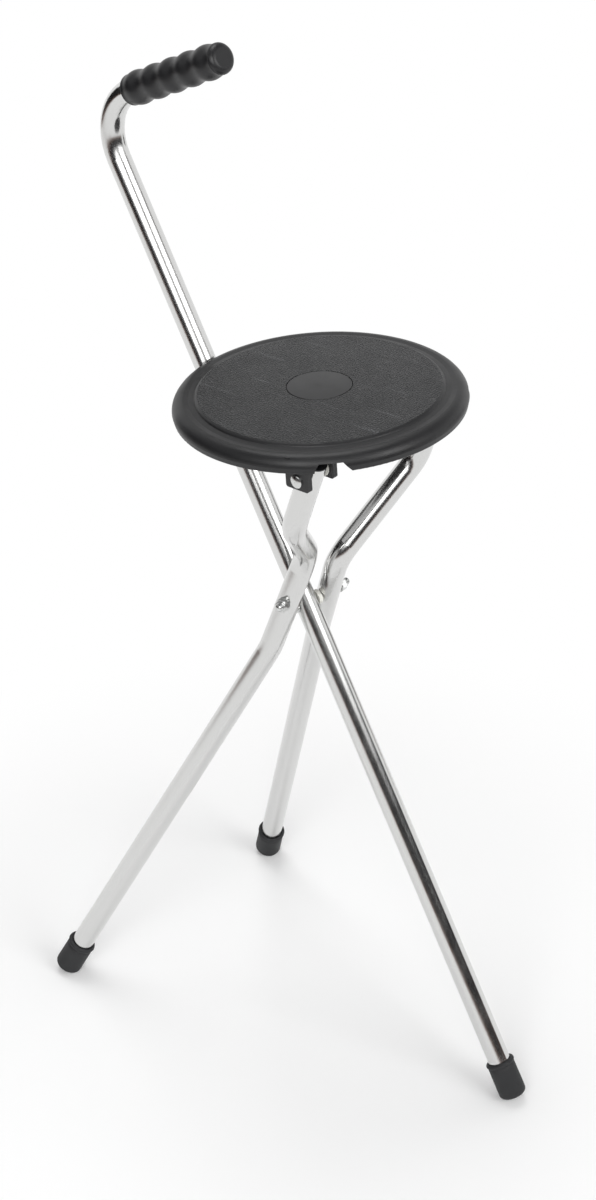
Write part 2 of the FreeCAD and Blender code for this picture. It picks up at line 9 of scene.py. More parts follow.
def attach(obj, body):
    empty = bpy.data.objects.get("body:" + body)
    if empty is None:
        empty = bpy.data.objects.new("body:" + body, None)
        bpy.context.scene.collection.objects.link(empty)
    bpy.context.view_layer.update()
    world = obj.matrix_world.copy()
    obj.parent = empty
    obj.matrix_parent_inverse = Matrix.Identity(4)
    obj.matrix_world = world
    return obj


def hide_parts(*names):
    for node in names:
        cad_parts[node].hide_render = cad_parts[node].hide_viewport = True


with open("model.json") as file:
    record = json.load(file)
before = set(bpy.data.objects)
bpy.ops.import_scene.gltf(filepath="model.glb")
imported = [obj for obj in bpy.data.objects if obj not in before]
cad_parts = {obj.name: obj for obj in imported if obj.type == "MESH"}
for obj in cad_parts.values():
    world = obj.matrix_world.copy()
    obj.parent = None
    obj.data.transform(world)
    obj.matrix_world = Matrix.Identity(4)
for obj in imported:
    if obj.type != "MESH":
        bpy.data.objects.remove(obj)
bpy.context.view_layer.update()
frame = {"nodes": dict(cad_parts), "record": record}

bl_info = {
    "name": "Walking stick seat",
    "version": (1, 0, 0),
    "blender": (4, 5, 0),
    "location": "3D View > Sidebar > Stick seat",
    "description": "Finishes and fine pieces of a folding walking stick seat",
    "category": "Object",
}

MM = 0.001
RECORD = frame["record"]
JOINTS = {joint["name"]: joint for joint in RECORD["behaviour"]["joints"]}


# Places that the fine pieces share with the solids, in millimetres before the move to the
# footprint's middle

SHIFT = np.array([-3.6528, 17.4039, 0.0])
MAIN_LEAN = 30.78
MAIN_FOOT_X = 222.7
HANDLE_BEND_UP = 842.4
HANDLE_BEND_R = 43.4
HANDLE_BEND = 93.1
FOOT_R = 11.75
FOOT_EDGE_R = 4.0
FOOT_WORN = 0.4
# Middle of the disc inside a foot, above the foot's sole
DISC_MIDDLE_UP = 8.75
# Main tube's middle to a leg's middle along a pivot, and the main tube's middle to the bolt's head
PIVOT_REACH = 22.5
HEAD_REACH = 10.5
SEAT_TOP_Z = 602.1
SEAT_TILT = 4.86


def turned(angle):
    """Cosine and sine of an angle in degrees."""
    return math.cos(math.radians(angle)), math.sin(math.radians(angle))


def unit(vector):
    """The vector at length one."""
    return vector / np.linalg.norm(vector)


COS_LEAN, SIN_LEAN = turned(MAIN_LEAN)
MAIN_UP = np.array([-SIN_LEAN, 0.0, COS_LEAN])
FORWARD = np.array([COS_LEAN, 0.0, SIN_LEAN])
SOLE_Z = (FOOT_R - FOOT_EDGE_R) * SIN_LEAN + FOOT_EDGE_R * (1 - COS_LEAN) - FOOT_WORN
MAIN_FOOT = np.array([MAIN_FOOT_X, 0.0, SOLE_Z]) + SHIFT
COS_BEND, SIN_BEND = turned(HANDLE_BEND)
GRIP_WAY = MAIN_UP * COS_BEND + FORWARD * SIN_BEND
BEND_REACH = HANDLE_BEND_R * math.tan(math.radians(HANDLE_BEND) / 2)
GRIP_BASE = MAIN_FOOT + MAIN_UP * (HANDLE_BEND_UP + BEND_REACH) + GRIP_WAY * BEND_REACH
SEAT_MIDDLE = np.array([0.0, 0.0, SEAT_TOP_Z]) + SHIFT


# Meshes

def put_mesh(name, points, faces, smooth=True):
    """Mesh object from points in millimetres and faces as rows of corner numbers."""
    mesh = bpy.data.meshes.new(name)
    mesh.from_pydata((np.asarray(points) * MM).tolist(), [], [list(face) for face in faces])
    mesh.validate()
    mesh.update()
    mesh.polygons.foreach_set("use_smooth", np.full(len(mesh.polygons), smooth))
    piece = bpy.data.objects.new(name, mesh)
    bpy.context.scene.collection.objects.link(piece)
    return piece


def grid_faces(rows, columns, closed_columns=True):
    """Quads between neighbouring rows of a grid of points, its columns closed or left open."""
    steps = columns if closed_columns else columns - 1
    row, column = np.meshgrid(np.arange(rows - 1), np.arange(steps), indexing="ij")
    following = (column + 1) % columns
    first = row * columns + column
    second = row * columns + following
    third = (row + 1) * columns + following
    fourth = (row + 1) * columns + column
    return np.stack([first, second, third, fourth], -1).reshape(-1, 4)


def across(way):
    """Two directions square to a way and to each other, in right-handed order with it."""
    helper = np.array([0.0, 1.0, 0.0]) if abs(way[1]) < 0.9 else np.array([1.0, 0.0, 0.0])
    first = unit(np.cross(helper, way))
    return first, np.cross(way, first)


def turned_points(profile, base, way, columns, twist=None):
    """Points of a turned surface: base + way * height + radius * (cos a, sin a) across the way.

    profile is an array of (radius, height); twist, when given, is a function of the height and
    angle grids that adds to the radius.
    """
    first, second = across(way)
    angle = np.arange(columns) * 2 * np.pi / columns
    radius, angle_grid = np.meshgrid(profile[:, 0], angle, indexing="ij")
    height = np.meshgrid(profile[:, 1], angle, indexing="ij")[0]
    if twist is not None:
        radius = radius + twist(height, angle_grid)
    return (base + way * height[..., None]
            + radius[..., None] * (first * np.cos(angle_grid)[..., None]
                                   + second * np.sin(angle_grid)[..., None]))


def turned_piece(name, profile, base, way, columns=96, twist=None, smooth=True):
    """Turned piece whose first and last profile points lie on the axis and close it."""
    grid = turned_points(np.asarray(profile, float)[1:-1], base, way, columns, twist)
    rows = grid.shape[0]
    points = np.vstack([grid.reshape(-1, 3), base + way * profile[0][1],
                        base + way * profile[-1][1]])
    faces = grid_faces(rows, columns).tolist()
    start, end = rows * columns, rows * columns + 1
    column = np.arange(columns)
    following = (column + 1) % columns
    faces += np.stack([np.full(columns, start), following, column], -1).tolist()
    last = (rows - 1) * columns
    faces += np.stack([last + column, last + following, np.full(columns, end)], -1).tolist()
    return put_mesh(name, points, faces, smooth)


def arc(middle, radius, start, end, steps):
    """Points (radius, height) along a profile's arc, angles in degrees from the radius way."""
    angle = np.radians(np.linspace(start, end, steps))
    return np.stack([middle[0] + radius * np.cos(angle), middle[1] + radius * np.sin(angle)], -1)


# Materials

def linear(colour):
    """sRGB hex colour as linear red, green, blue and alpha."""
    value = np.array([int(colour[k:k + 2], 16) for k in (1, 3, 5)]) / 255.0
    level = np.where(value <= 0.04045, value / 12.92, ((value + 0.055) / 1.055) ** 2.4)
    return (*level.tolist(), 1.0)


def add_node(tree, kind, links=None, **settings):
    """One node with its settings; links give input names their values or the sockets they read."""
    node = tree.nodes.new(kind)
    for key, value in settings.items():
        setattr(node, key, value)
    for key, value in (links or {}).items():
        socket = node.inputs[key]
        if isinstance(value, bpy.types.NodeSocket):
            tree.links.new(value, socket)
        else:
            socket.default_value = value
    return node


def new_material(name):
    """Empty material with its output node."""
    material = bpy.data.materials.new(name)
    material.use_nodes = True
    tree = material.node_tree
    tree.nodes.clear()
    return material, tree, tree.nodes.new("ShaderNodeOutputMaterial")


def finish_material(tree, output, shader):
    """Join the shader to the output."""
    tree.links.new(shader.outputs[0], output.inputs["Surface"])


def object_place(tree, middle=None, turn=(0.0, 0.0, 0.0), scale=(1.0, 1.0, 1.0)):
    """Object coordinates in metres, centred on a point in metres, turned and then scaled."""
    coord = add_node(tree, "ShaderNodeTexCoord")
    here = coord.outputs["Object"]
    if middle is not None:
        moved = add_node(tree, "ShaderNodeVectorMath", {0: here, 1: tuple(middle)},
                         operation="SUBTRACT")
        here = moved.outputs[0]
    mapping = add_node(tree, "ShaderNodeMapping", {"Vector": here, "Rotation": turn,
                                                   "Scale": scale})
    return mapping.outputs[0]


def ramp(tree, source, stops):
    """Level that runs straight from one (place, level) stop to another and holds past both."""
    node = add_node(tree, "ShaderNodeMapRange", {"Value": source, "From Min": stops[0][0],
                                                "From Max": stops[1][0], "To Min": stops[0][1],
                                                "To Max": stops[1][1]})
    return node.outputs[0]


def drawn_aluminium(name, way, colour):
    """Polished, drawn 6000-series aluminium tube: a bright mirror a little softened by fine lines
    that run along the tube, with faint wiping marks.

    way is the straight run's direction, along which the pattern is stretched.
    """
    material, tree, output = new_material(name)
    direction = Vector(way)
    turn = direction.rotation_difference(Vector((0, 0, 1))).to_euler()
    place = object_place(tree, turn=tuple(turn), scale=(1.0, 1.0, 0.012))
    lines = add_node(tree, "ShaderNodeTexNoise", {"Vector": place, "Scale": 1100.0,
                                                  "Detail": 1.0, "Roughness": 0.6})
    wipe_place = object_place(tree, turn=tuple(turn), scale=(1.0, 1.0, 0.15))
    wipes = add_node(tree, "ShaderNodeTexNoise", {"Vector": wipe_place, "Scale": 90.0,
                                                  "Detail": 4.0, "Roughness": 0.65})
    rough = ramp(tree, wipes.outputs["Fac"], ((0.3, 0.15), (0.75, 0.22)))
    bump = add_node(tree, "ShaderNodeBump", {"Height": lines.outputs["Fac"], "Strength": 0.05,
                                            "Distance": 0.00001})
    shader = add_node(tree, "ShaderNodeBsdfPrincipled",
                      {"Base Color": colour, "Metallic": 1.0, "Roughness": rough,
                       "Normal": bump.outputs[0]})
    finish_material(tree, output, shader)
    return material


def grained_plastic(name, colour, streak_colour, field_r, middle):
    """Injection-moulded polypropylene: leather pebbles inside the field, with painted shade in the
    hollows between them, a smooth satin roll outside it coloured darker as painted shade, and
    faint paler streaks on the pebble tops.

    The real pebbles are too fine to show, so they are drawn 2.4 mm wide, 420 to the metre.
    """
    material, tree, output = new_material(name)
    tilt = math.radians(SEAT_TILT)
    place = object_place(tree, tuple(middle), (0.0, tilt, 0.0))
    split = add_node(tree, "ShaderNodeSeparateXYZ", {"Vector": place})
    flat = add_node(tree, "ShaderNodeCombineXYZ", {"X": split.outputs["X"],
                                                   "Y": split.outputs["Y"]})
    radius = add_node(tree, "ShaderNodeVectorMath", {0: flat.outputs[0]}, operation="LENGTH")
    inside = ramp(tree, radius.outputs["Value"],
                  ((field_r + 0.0006, 0.0), (field_r - 0.0006, 1.0)))
    bent = add_node(tree, "ShaderNodeTexNoise", {"Vector": flat.outputs[0], "Scale": 160.0,
                                                 "Detail": 2.0})
    pushed = add_node(tree, "ShaderNodeVectorMath", {0: bent.outputs["Color"], 1: (0.0022,) * 3,
                                                     2: flat.outputs[0]}, operation="MULTIPLY_ADD")
    cells = add_node(tree, "ShaderNodeTexVoronoi", {"Vector": pushed.outputs[0], "Scale": 420.0,
                                                    "Randomness": 0.85},
                     feature="DISTANCE_TO_EDGE")
    pebbles = ramp(tree, cells.outputs["Distance"], ((0.02, 0.0), (0.26, 1.0)))
    grain = add_node(tree, "ShaderNodeMath", {0: pebbles, 1: inside}, operation="MULTIPLY")
    fine = add_node(tree, "ShaderNodeTexNoise", {"Vector": place, "Scale": 1900.0, "Detail": 3.0})
    fine_bump = add_node(tree, "ShaderNodeBump", {"Height": fine.outputs["Fac"], "Strength": 0.12,
                                                  "Distance": 0.00005})
    bump = add_node(tree, "ShaderNodeBump", {"Height": grain.outputs[0], "Strength": 1.0,
                                            "Distance": 0.0005, "Normal": fine_bump.outputs[0]})
    cloud = add_node(tree, "ShaderNodeTexNoise", {"Vector": place, "Scale": 30.0, "Detail": 5.0,
                                                  "Roughness": 0.6})
    rough = ramp(tree, cloud.outputs["Fac"], ((0.25, 0.36), (0.75, 0.50)))
    streak_place = object_place(tree, tuple(middle), (0.0, tilt, 0.6), (14.0, 150.0, 1.0))
    streaks = add_node(tree, "ShaderNodeTexNoise", {"Vector": streak_place, "Scale": 1.0,
                                                    "Detail": 3.0, "Roughness": 0.55})
    pale_streaks = ramp(tree, streaks.outputs["Fac"], ((0.60, 0.0), (0.72, 0.5)))
    pale_streaks = add_node(tree, "ShaderNodeMath", {0: pale_streaks, 1: grain.outputs[0]},
                      operation="MULTIPLY")
    # The hollows between the pebbles are mixed towards #0E0E10: painted shade in the grain.
    crease_shade = add_node(tree, "ShaderNodeMix", {"Factor": pebbles, "A": linear("#0E0E10"),
                                              "B": colour}, data_type="RGBA")
    # Outside the field the roll is coloured #141416, darker than the seat plastic: painted shade
    # on the roll.
    field = add_node(tree, "ShaderNodeMix", {"Factor": inside, "A": linear("#141416"),
                                             "B": crease_shade.outputs["Result"]}, data_type="RGBA")
    # Paler streaks on the pebble tops, mixed up to halfway towards the streak colour.
    tone = add_node(tree, "ShaderNodeMix", {"Factor": pale_streaks.outputs[0],
                                            "A": field.outputs["Result"], "B": streak_colour},
                    data_type="RGBA")
    shader = add_node(tree, "ShaderNodeBsdfPrincipled",
                      {"Base Color": tone.outputs["Result"], "Roughness": rough, "IOR": 1.49,
                       "Normal": bump.outputs[0]})
    finish_material(tree, output, shader)
    return material


def plain_plastic(name, colour, low, high, scale, bump_mm, ior=1.49):
    """Moulded plastic or rubber: soft gloss that varies with handling, on a fine eroded skin."""
    material, tree, output = new_material(name)
    place = object_place(tree)
    cloud = add_node(tree, "ShaderNodeTexNoise", {"Vector": place, "Scale": 45.0, "Detail": 4.0,
                                                  "Roughness": 0.6})
    rough = ramp(tree, cloud.outputs["Fac"], ((0.25, low), (0.75, high)))
    skin = add_node(tree, "ShaderNodeTexNoise", {"Vector": place, "Scale": scale, "Detail": 3.0,
                                                 "Roughness": 0.7})
    bump = add_node(tree, "ShaderNodeBump", {"Height": skin.outputs["Fac"], "Strength": 0.5,
                                            "Distance": bump_mm * MM})
    shader = add_node(tree, "ShaderNodeBsdfPrincipled",
                      {"Base Color": colour, "Roughness": rough, "IOR": ior,
                       "Normal": bump.outputs[0]})
    finish_material(tree, output, shader)
    return material


def plated_steel(name, colour, low, high):
    """Zinc-plated or bright steel: a metal whose gloss wanders a little over the plating."""
    material, tree, output = new_material(name)
    place = object_place(tree)
    cloud = add_node(tree, "ShaderNodeTexNoise", {"Vector": place, "Scale": 400.0, "Detail": 4.0,
                                                  "Roughness": 0.6})
    rough = ramp(tree, cloud.outputs["Fac"], ((0.25, low), (0.75, high)))
    bump = add_node(tree, "ShaderNodeBump", {"Height": cloud.outputs["Fac"], "Strength": 0.3,
                                            "Distance": 0.00003})
    shader = add_node(tree, "ShaderNodeBsdfPrincipled",
                      {"Base Color": colour, "Metallic": 1.0, "Roughness": rough,
                       "Normal": bump.outputs[0]})
    finish_material(tree, output, shader)
    return material


def dress(node, material):
    """Give a carried-over solid its material."""
    slots = frame["nodes"][node].data.materials
    slots.clear()
    slots.append(material)


# Fine pieces

def keep(piece, material, body, node):
    """Give a fine piece its material, its body and the solid that it stands for."""
    piece.data.materials.append(material)
    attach(piece, body)
    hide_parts(node)


def grip_moulding(sizes, material):
    """Grip turned about its axis: a bore, a rounded mouth, a wavy side and a round-edged end.

    The side's radius is (crest + valley) / 2 + (crest - valley) / 2 * cos(2 pi (h - 11) / pitch).
    """
    crest, valley, length = (value / MM for value in (sizes.grip_crest, sizes.grip_valley,
                                                      sizes.grip_length))
    bore, wall_end, edge, pitch, first_crest = 9.55, 8.0, 5.0, 20.4, 11.0
    height = np.linspace(1.2, length - edge, 181)
    wave = np.cos(2 * np.pi * (height - first_crest) / pitch)
    radius = (crest + valley) / 2 + (crest - valley) / 2 * wave
    ease = np.clip((height - 1.2) / 4.0, 0, 1)
    radius = radius * ease + (valley + 0.3) * (1 - ease)
    end_r = radius[-1]
    mouth = arc((valley - 0.9, 1.2), 1.2, -90, 0, 7)
    cap = arc((end_r - edge, length - edge), edge, 0, 84, 14)
    dome = np.stack([np.linspace(cap[-1, 0], 0, 8)[1:-1],
                     np.linspace(cap[-1, 1], length, 8)[1:-1]], -1)
    inside = [(0, length - wall_end), (bore, length - wall_end), (bore, 0.4), (bore + 0.4, 0)]
    profile = np.vstack([inside, mouth, np.stack([radius, height], -1), cap, dome, [(0, length)]])
    piece = turned_piece("grip_moulding", profile, GRIP_BASE, GRIP_WAY, 128)
    keep(piece, material, "stick", "handle_grip")


def disc_axis(node):
    """Middle and upward way of a thin disc, from its points' flattest direction."""
    mesh = frame["nodes"][node].data
    points = np.zeros(len(mesh.vertices) * 3)
    mesh.vertices.foreach_get("co", points)
    points = points.reshape(-1, 3) / MM
    low, high = points.min(0), points.max(0)
    middle = (low + high) / 2
    way = np.linalg.svd(points - points.mean(0), full_matrices=False)[2][2]
    return middle, way * np.sign(way[2])


def rubber_foot(node, material):
    """Foot turned about its tube's axis: grooved sole, round edge, slightly tapered side, and a
    groove and bead under a bevelled mouth.

    The sole is cut 0.5 mm deep where cos(2 pi radius / 2.6) > 0.55. Points that would lie under
    the floor are held on it, as the solid's foot is cut flat there.
    """
    middle, way = disc_axis(node + "_tip_disc")
    base = middle - way * DISC_MIDDLE_UP
    sole = np.linspace(0.4, FOOT_R - FOOT_EDGE_R, 40)
    tread = 0.5 * (np.cos(2 * np.pi * sole / 2.6) > 0.55)
    edge = arc((FOOT_R - FOOT_EDGE_R, FOOT_EDGE_R), FOOT_EDGE_R, -90, 0, 14)
    side = np.array([(FOOT_R, 8.0), (FOOT_R - 0.05, 16.0), (FOOT_R - 0.1, 26.0),
                     (FOOT_R - 0.15, 28.6), (FOOT_R - 0.45, 29.1), (FOOT_R - 0.45, 29.7),
                     (FOOT_R + 0.05, 30.2)])
    bead = arc((FOOT_R - 0.9, 31.7), 1.5, -55, 75, 12)
    mouth = np.array([(FOOT_R - 0.9, 33.6), (10.1, 33.9), (9.6, 33.2), (9.55, 8.05)])
    profile = np.vstack([[(0, 0)], np.stack([sole, tread], -1), edge, side, bead, mouth,
                         [(0, 8.05)]])
    piece = turned_piece(node + "_rubber_foot", profile, base, way, 96)
    mesh = piece.data
    points = np.zeros(len(mesh.vertices) * 3)
    mesh.vertices.foreach_get("co", points)
    points = points.reshape(-1, 3)
    points[:, 2] = np.maximum(points[:, 2], 0.0)
    mesh.vertices.foreach_set("co", points.ravel())
    mesh.update()
    keep(piece, material, {"main": "stick"}.get(node, node), node + "_ferrule")


def pivot_hardware(letter, zinc):
    """Bolt with a domed head and a rolled thread, and a chamfered hexagon nut with its collar.

    The thread sinks by depth * 2 |t - round(t)|, t = height / pitch - angle / 2 pi; the nut's side
    is min(5 / cos(angle from a flat's middle), two chamfer cones).
    """
    joint = JOINTS["leg_%s_fold" % letter]
    way = np.array(joint["axis"]) * (1 if letter == "b" else -1)
    pivot = np.array(joint["pos_m"]) / MM
    centre = pivot - way * PIVOT_REACH
    quarter = np.linspace(0, 1, 14) * np.pi / 2
    head = np.stack([4.4 * np.sin(quarter), -0.5 - 1.3 * np.cos(quarter)], -1)
    length = 46.8 + 6.0
    shank = np.array([(4.4, 0.0), (3.0, 0.0), (3.0, 10.0), (3.0, 36.0)])
    thread_h = np.linspace(36.2, length - 0.7, 230)
    thread = np.stack([np.full(230, 2.98), thread_h], -1)
    tip = np.array([(2.3, length), (0, length)])
    profile = np.vstack([head, shank, thread, tip])
    pitch, depth = 1.0, 0.55

    def groove(height, angle):
        """How far the thread sinks: a triangle wave of the height in turns less the angle's."""
        turns = height / pitch - angle / (2 * np.pi)
        wave = np.abs(turns - np.round(turns)) * 2
        cut = (height > 36.1) & (height < length - 0.65)
        return -depth * wave * cut

    bolt = turned_piece("pivot_%s_threaded_bolt" % letter, profile, centre - way * HEAD_REACH, way,
                        48, groove)
    keep(bolt, zinc, "stick", "pivot_%s_bolt" % letter)

    nut_h = np.concatenate([[0.0], np.linspace(0.02, 4.48, 25), [4.5]])
    outside = np.stack([np.full(27, 5.77), nut_h], -1)
    collar = np.vstack([[(4.5, 4.5)], arc((3.7, 5.3), 0.7, 0, 90, 6), [(3.06, 6.0)]])
    profile = np.vstack([[(0, 0.6), (3.06, 0.6), (3.06, 0.0)], outside, collar,
                         [(3.06, 5.6), (0, 5.6)]])

    def hexagon(height, angle):
        """Side of the nut less its corner radius, only between its two end faces."""
        sixth = (angle + np.pi / 6) % (np.pi / 3) - np.pi / 6
        flat = 5.0 / np.cos(sixth)
        cone = np.minimum(5.25 + height * 1.5, 5.25 + (4.5 - height) * 1.5)
        side = np.arange(height.shape[0])[:, None]
        on_side = (side >= 2) & (side < 29)
        return np.where(on_side, np.minimum(flat, cone) - 5.77, 0.0)

    nut = turned_piece("pivot_%s_chamfered_nut" % letter, profile, pivot + way * 10.8, way, 96,
                       hexagon, smooth=False)
    keep(nut, zinc, "stick", "pivot_%s_lock_nut" % letter)


# Settings

class StickSizes(bpy.types.PropertyGroup):
    """Sizes of the fine pieces."""
    grip_crest: bpy.props.FloatProperty(name="Grip crest", description="Radius at the lobes",
                                        default=0.0134, unit="LENGTH")
    grip_valley: bpy.props.FloatProperty(name="Grip valley", description="Radius between lobes",
                                         default=0.0118, unit="LENGTH")
    grip_length: bpy.props.FloatProperty(name="Grip length", description="Length of the grip",
                                         default=0.110, unit="LENGTH")
    field_r: bpy.props.FloatProperty(name="Grain field", description="Radius of the grained field",
                                     default=0.0935, unit="LENGTH")


class StickColours(bpy.types.PropertyGroup):
    """Colours of the finishes."""
    tube: bpy.props.FloatVectorProperty(name="Tube", description="Polished aluminium",
                                        subtype="COLOR", size=4, default=linear("#D6D6D5"))
    seat: bpy.props.FloatVectorProperty(name="Seat", description="Seat plastic", subtype="COLOR",
                                        size=4, default=linear("#1F2022"))
    grip: bpy.props.FloatVectorProperty(name="Grip", description="Grip plastic", subtype="COLOR",
                                        size=4, default=linear("#151517"))
    feet: bpy.props.FloatVectorProperty(name="Feet", description="Rubber feet", subtype="COLOR",
                                        size=4, default=linear("#1D1E20"))
    zinc: bpy.props.FloatVectorProperty(name="Zinc", description="Zinc-plated bolts and nuts",
                                        subtype="COLOR", size=4, default=linear("#D2D3D2"))
    floor: bpy.props.FloatVectorProperty(name="Floor", description="Studio floor", subtype="COLOR",
                                         size=4, default=linear("#FAFAFA"))


# Operators

class STICK_OT_tubes(bpy.types.Operator):
    """Polished aluminium on the three tubes"""
    bl_idname = "stick.tubes"
    bl_label = "Tubes"

    def execute(self, context):
        colours = context.scene.stick_colours
        runs = {"main_tube": MAIN_UP, "leg_b_tube": run_of("leg_b_tube"),
                "leg_c_tube": run_of("leg_c_tube")}
        for node, way in runs.items():
            dress(node, drawn_aluminium("drawn_aluminium_" + node, way, colours.tube))
        return {"FINISHED"}


def run_of(node):
    """Meant as the direction of a leg's long straight run, from its lowest points to those 0.25 m
    above them. Known fault: neither leg has mesh points there, so it gives NaN for both, the turn
    in the material becomes zero, and the drawn lines run upright instead of along the leg.
    """
    mesh = frame["nodes"][node].data
    points = np.zeros(len(mesh.vertices) * 3)
    mesh.vertices.foreach_get("co", points)
    points = points.reshape(-1, 3)
    low = points[points[:, 2] < points[:, 2].min() + 0.01].mean(0)
    high = points[np.abs(points[:, 2] - points[:, 2].min() - 0.25) < 0.02].mean(0)
    return unit(high - low)


class STICK_OT_plastics(bpy.types.Operator):
    """Moulded seat, emblem, grip, plugs and feet"""
    bl_idname = "stick.plastics"
    bl_label = "Plastics"

    def execute(self, context):
        colours, sizes = context.scene.stick_colours, context.scene.stick_sizes
        grip_moulding(sizes, plain_plastic("moulded_pvc_grip", colours.grip, 0.34, 0.46, 1200.0,
                                           0.04))
        # 6A6B6E is the colour of the paler streaks on the pebble tops.
        seat = grained_plastic("moulded_polypropylene_seat", colours.seat, linear("#6A6B6E"),
                               sizes.field_r, SEAT_MIDDLE * MM)
        dress("seat_shell", seat)
        dress("seat_emblem", plain_plastic("moulded_abs_emblem", colours.grip, 0.30, 0.42, 1500.0,
                                           0.02))
        plug = plain_plastic("moulded_polyethylene_plug", colours.grip, 0.4, 0.5, 1200.0, 0.03)
        rubber = plain_plastic("moulded_rubber", colours.feet, 0.55, 0.72, 900.0, 0.08, 1.52)
        nylon = plain_plastic("natural_nylon", linear("#D8D7D0"), 0.35, 0.45, 1200.0, 0.02, 1.53)
        for letter in "bc":
            dress("leg_%s_end_plug" % letter, plug)
            dress("pivot_%s_spacer" % letter, nylon)
        for node in ("main", "leg_b", "leg_c"):
            rubber_foot(node, rubber)
        dress("seat_hinge_washer_out", nylon)
        dress("seat_hinge_washer_in", nylon)
        return {"FINISHED"}


class STICK_OT_hardware(bpy.types.Operator):
    """Plated bolts, washers, nuts and pins"""
    bl_idname = "stick.hardware"
    bl_label = "Hardware"

    def execute(self, context):
        colours = context.scene.stick_colours
        zinc = plated_steel("zinc_plated_steel", colours.zinc, 0.16, 0.30)
        for letter in "bc":
            for part in ("head_washer", "nut_washer"):
                dress("pivot_%s_%s" % (letter, part), zinc)
            pivot_hardware(letter, zinc)
            dress("leg_%s_tip_disc" % letter, zinc)
        for node in ("main_tip_disc", "seat_hinge_pin", "seat_hinge_clip", "leg_c_catch_peg"):
            dress(node, zinc)
        return {"FINISHED"}


# Stage

CAMERA_PLACE = (1.0598, -1.1971, 1.4862)
CAMERA_AZIMUTH = 2.3001
CAMERA_DOWN = 0.5891
CAMERA_LENS = 2415.5 / 1200 * 36.0


class STICK_OT_stage(bpy.types.Operator):
    """Pale floor, dark cards, soft lamps, world and camera"""
    bl_idname = "stick.stage"
    bl_label = "Stage"

    def execute(self, context):
        scene = context.scene
        scene.view_settings.view_transform = "Standard"
        colours = scene.stick_colours
        studio_floor(colours.floor)
        for name, start, end, low, high, colour, glow in DARK_CARDS:
            dark_card(name, start, end, low, high, colour, glow)
        for name, azimuth, elevation, distance, wide, tall, watts in SOFTBOXES:
            softbox(name, azimuth, elevation, distance, wide, tall, watts)
        studio_room()
        photo_camera()
        return {"FINISHED"}


# Low dark cards round the camera's side, which only the gloss sees: name, azimuths in degrees,
# heights in metres, colour at the top and at the foot
DARK_CARDS = (
    ("room_card_left", -178.0, -112.0, 0.02, 1.50, "#1E1C1C", "#6B4B38"),
    ("room_card_front", -112.0, 36.0, 0.02, 0.92, "#242325", "#7A5642"),
    ("frame_card_front", -30.0, -25.0, 0.92, 2.30, "#3A3533", "#3A3533"),
    ("frame_card_right", 33.0, 40.0, 0.92, 2.30, "#3A3533", "#3A3533"),
    ("room_card_right", 64.0, 80.0, 0.02, 0.60, "#2B2725", "#4A3A30"),
)
CARD_DISTANCE = 2.2
# Softboxes: name, azimuth, elevation, distance, width, height, watts
SOFTBOXES = (
    ("key_softbox", -62.0, 32.0, 2.9, 1.7, 1.5, 34.0),
    ("side_softbox", 4.0, 32.0, 2.9, 1.5, 1.5, 27.0),
    ("top_softbox", 150.0, 70.0, 3.0, 1.6, 1.6, 30.0),
)
LIT_POINT = np.array([0.0, 0.0, 0.45])


def compass(azimuth, elevation=0.0):
    """Unit vector of an azimuth and elevation in degrees."""
    cos_az, sin_az = turned(azimuth)
    cos_el, sin_el = turned(elevation)
    return np.array([cos_az * cos_el, sin_az * cos_el, sin_el])


def studio_floor(colour):
    """Wide pale floor that fades to plain white away from the object and its shadow."""
    size = 12000.0
    floor = put_mesh("studio_floor", [(-size, -size, 0), (size, -size, 0), (size, size, 0),
                                      (-size, size, 0)], [(0, 1, 2, 3)], False)
    material, tree, output = new_material("painted_studio_floor")
    diffuse = add_node(tree, "ShaderNodeBsdfDiffuse", {"Color": colour})
    white = add_node(tree, "ShaderNodeEmission", {"Color": (1, 1, 1, 1), "Strength": 1.0})
    away = add_node(tree, "ShaderNodeVectorMath", {0: object_place(tree)}, operation="LENGTH")
    far = add_node(tree, "ShaderNodeMapRange", {"Value": away.outputs["Value"], "From Min": 0.2,
                                                "From Max": 0.55, "To Min": 0.0, "To Max": 1.0},
                   interpolation_type="SMOOTHSTEP")
    path = add_node(tree, "ShaderNodeLightPath")
    seen = add_node(tree, "ShaderNodeMath", {0: path.outputs["Is Camera Ray"],
                                            1: path.outputs["Is Glossy Ray"]}, operation="MAXIMUM")
    seen = add_node(tree, "ShaderNodeMath", {0: seen.outputs[0],
                                            1: path.outputs["Is Transmission Ray"]},
                    operation="MAXIMUM")
    share = add_node(tree, "ShaderNodeMath", {0: seen.outputs[0], 1: far.outputs[0]},
                     operation="MULTIPLY")
    mix = add_node(tree, "ShaderNodeMixShader", {0: share.outputs[0], 1: diffuse.outputs[0],
                                                 2: white.outputs[0]})
    finish_material(tree, output, mix)
    floor.data.materials.append(material)


def dark_card(name, start, end, low, high, top_colour, foot_colour):
    """Upright curved card: points on a circle about the object, between two heights."""
    angle, height = np.meshgrid(np.radians(np.linspace(start, end, 33)), np.linspace(low, high, 9),
                                indexing="ij")
    radius = CARD_DISTANCE / MM
    points = np.stack([radius * np.cos(angle), radius * np.sin(angle), height / MM], -1)
    card = put_mesh(name, points.reshape(-1, 3), grid_faces(33, 9, False), True)
    material, tree, output = new_material("studio_" + name)
    split = add_node(tree, "ShaderNodeSeparateXYZ", {"Vector": object_place(tree)})
    up = ramp(tree, split.outputs["Z"], ((low, 0.0), (low + 0.25, 1.0)))
    colour = add_node(tree, "ShaderNodeMix", {"Factor": up, "A": linear(foot_colour),
                                              "B": linear(top_colour)}, data_type="RGBA")
    glow = add_node(tree, "ShaderNodeEmission", {"Color": colour.outputs["Result"],
                                                 "Strength": 1.0})
    finish_material(tree, output, glow)
    card.data.materials.append(material)
    card.visible_camera = False
    card.visible_diffuse = False
    card.visible_shadow = False
    card.visible_transmission = False


